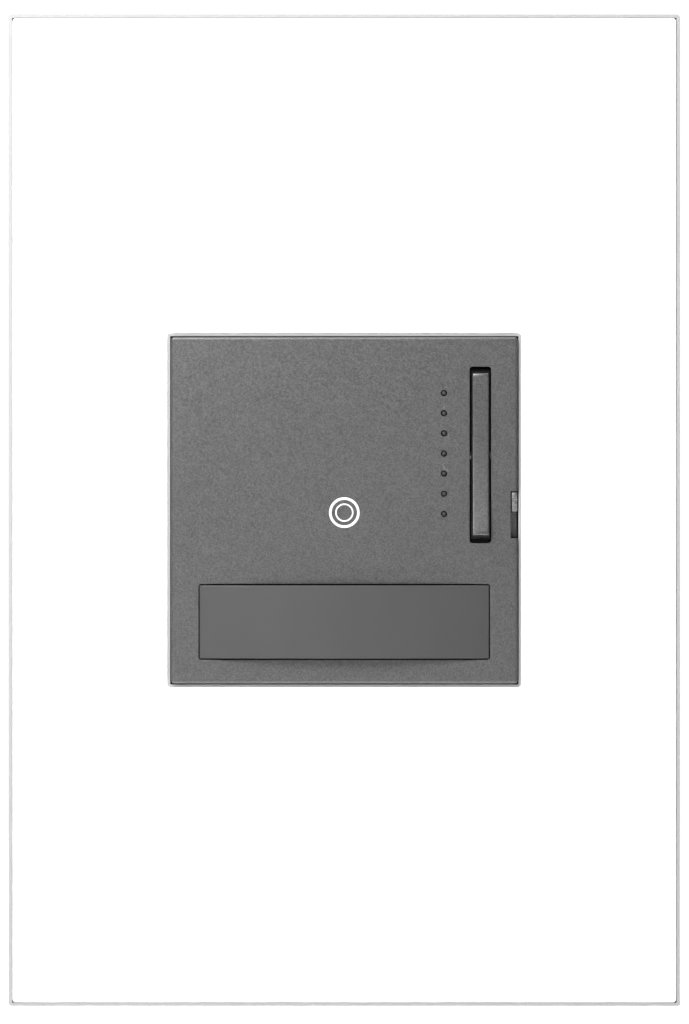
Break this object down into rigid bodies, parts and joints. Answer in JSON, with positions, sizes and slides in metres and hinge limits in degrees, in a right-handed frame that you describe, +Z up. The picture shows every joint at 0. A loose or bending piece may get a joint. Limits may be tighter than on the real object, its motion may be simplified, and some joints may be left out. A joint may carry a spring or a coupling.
{
  "type": "wall dimmer switch",
  "caption": "One-gang wall dimmer with a square tap plate, tilting level bar, row of level lights, motion-sensor lens and air-gap slide.",
  "frame": {"origin": "on the wall's surface at the middle of the plate, midway between the two box screws", "axes": "+Z up, +X to the right seen from the front, the front faces -Y and +Y runs into the wall along the box screws"},
  "size_m": [0.088, 0.0434, 0.13],
  "materials": {
    "cover_white": "satin white moulding",
    "base_grey": "matte light-grey moulding",
    "zinc_steel": "zinc plated",
    "retainer_fibre": "pressed fibre",
    "green_screw": "green dyed plating",
    "chassis_black": "black moulding",
    "face_graphite": "satin graphite metallic paint",
    "icon_white": "white inlay",
    "light_guide_clear": "clear moulding, lights off",
    "lens_smoke": "smoked translucent moulding",
    "tab_graphite": "satin graphite",
    "contact_brass": "bright",
    "dome_rubber": "silicone",
    "spring_steel": "drawn wire",
    "component_black": "moulded black",
    "led_cream": "cream package",
    "sensor_can": "nickel can",
    "sensor_window": "dark filter window",
    "board_green": "glass-fibre board with solder mask",
    "insulator_paper": "insulating paper",
    "heat_sink_aluminium": "rolled sheet",
    "core_ferrite": "sintered core",
    "winding_copper": "enamelled copper wire",
    "capacitor_yellow": "yellow box",
    "capacitor_sleeve": "shrunk sleeve on an aluminium can",
    "varistor_blue": "dipped coating",
    "fuse_metal": "tinned caps on a ceramic tube",
    "housing_black": "black flame-proof moulding"
  },
  "bodies": {
    "root": {"wall_plate_front": "cover_white", "wall_plate_base": "base_grey", "plate_screws": "zinc_steel", "mounting_frame": "zinc_steel", "box_screws": "zinc_steel", "screw_retainers": "retainer_fibre", "ground_screw": "green_screw", "chassis": "chassis_black", "face_hinge_pin": "zinc_steel", "rocker_pin": "zinc_steel", "sensor_lens": "lens_smoke", "air_gap_contacts": "contact_brass", "on_off_dome": "dome_rubber", "brighter_dome": "dome_rubber", "dimmer_dome": "dome_rubber", "face_springs": "spring_steel", "light_shield": "component_black", "level_leds": "led_cream", "light_sensor": "component_black", "motion_sensor": "sensor_can", "motion_sensor_window": "sensor_window", "controller_chip": "component_black", "control_board": "board_green", "board_header": "component_black", "insulator_sheet": "insulator_paper", "power_board": "board_green", "power_triac": "component_black", "triac_screw": "zinc_steel", "heat_sink": "heat_sink_aluminium", "choke_core": "core_ferrite", "choke_winding": "winding_copper", "filter_capacitor": "capacitor_yellow", "supply_capacitor": "capacitor_sleeve", "surge_varistor": "varistor_blue", "fuse_link": "fuse_metal", "rear_housing": "housing_black", "housing_screws": "zinc_steel", "terminal_plates": "contact_brass", "terminal_screws": "contact_brass"},
    "face": {"face_plate": "face_graphite", "ring_icon_outer": "icon_white", "ring_icon_inner": "icon_white", "level_light_guide": "light_guide_clear"},
    "rocker": {"dimmer_rocker": "face_graphite"},
    "tab": {"air_gap_tab": "tab_graphite", "air_gap_leaf": "contact_brass"}
  },
  "joints": [
    {"name": "face_press", "type": "hinge", "parent": "root", "child": "face", "pos_m": [0, -0.0046, 0.0203], "axis": [1, 0, 0], "range_deg": [0, 1.2], "stiffness_Nm_per_rad": 1, "springref_deg": -0.34, "deforming": ["face_springs", "on_off_dome"]},
    {"name": "level_tilt", "type": "hinge", "parent": "root", "child": "rocker", "pos_m": [0.01787, -0.0044, 0.0072], "axis": [1, 0, 0], "range_deg": [-3, 3], "stiffness_Nm_per_rad": 0.15, "deforming": ["brighter_dome", "dimmer_dome"]},
    {"name": "air_gap_slide", "type": "slide", "parent": "root", "child": "tab", "axis": [0, 0, -1], "range_m": [0, 0.003]}
  ]
}
